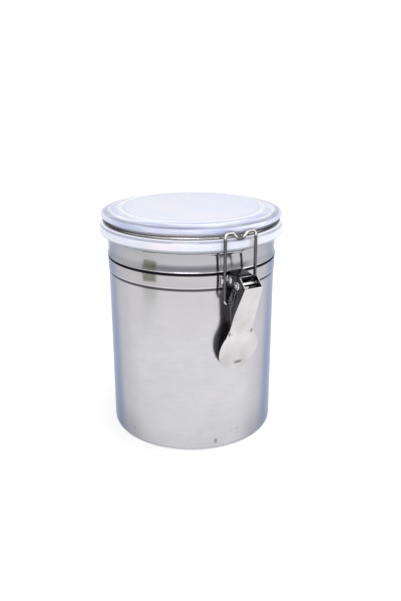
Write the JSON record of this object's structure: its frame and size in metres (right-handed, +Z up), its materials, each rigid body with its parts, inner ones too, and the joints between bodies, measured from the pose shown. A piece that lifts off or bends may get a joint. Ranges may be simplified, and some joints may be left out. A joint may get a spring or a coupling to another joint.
{
  "type": "food canister",
  "caption": "Brushed steel food canister with a clear hinged lid, soft seal and a wire bail toggle latch.",
  "frame": {"origin": "centre of the flat base, on the surface it stands on", "axes": "+Z up along the body's axis, -Y towards the latch at the front, +Y towards the hinge"},
  "size_m": [0.1386, 0.1636, 0.1754],
  "materials": {
    "satin_steel": "fine lines around the body",
    "band_steel": "brighter fine lines around",
    "latch_steel": "polished sheet",
    "wire_steel": "drawn bright wire",
    "rivet_steel": "bright",
    "clear_plastic": "clear, polished",
    "soft_seal": "translucent white"
  },
  "bodies": {
    "canister": {"body_shell": "satin_steel", "closure_band": "band_steel", "latch_bracket": "latch_steel", "latch_bracket_rivets": "rivet_steel", "bracket_stop_pin": "rivet_steel", "lever_pivot_pin": "rivet_steel", "hinge_bracket": "latch_steel", "hinge_bracket_rivets": "rivet_steel"},
    "lever_body": {"lever": "latch_steel"},
    "bail_body": {"bail_wire": "wire_steel"},
    "lid_body": {"lid": "clear_plastic", "gasket": "soft_seal", "lid_ring": "wire_steel", "hinge_loop": "wire_steel"}
  },
  "joints": [
    {"name": "lid_hinge", "type": "hinge", "parent": "canister", "child": "lid_body", "pos_m": [0, 0.0727, 0.1517], "axis": [-1, 0, 0], "range_deg": [0, 105]},
    {"name": "lever_pivot", "type": "hinge", "parent": "canister", "child": "lever_body", "pos_m": [0, -0.0791, 0.1352], "axis": [-1, 0, 0], "range_deg": [0, 120]},
    {"name": "bail_swing", "type": "hinge", "parent": "lever_body", "child": "bail_body", "pos_m": [0, -0.07055, 0.1198], "axis": [-1, 0, 0], "range_deg": [-160, 0]}
  ],
  "couplings": [
    {"joint": "bail_swing", "follows": "lever_pivot", "ratio": -1.3333}
  ]
}
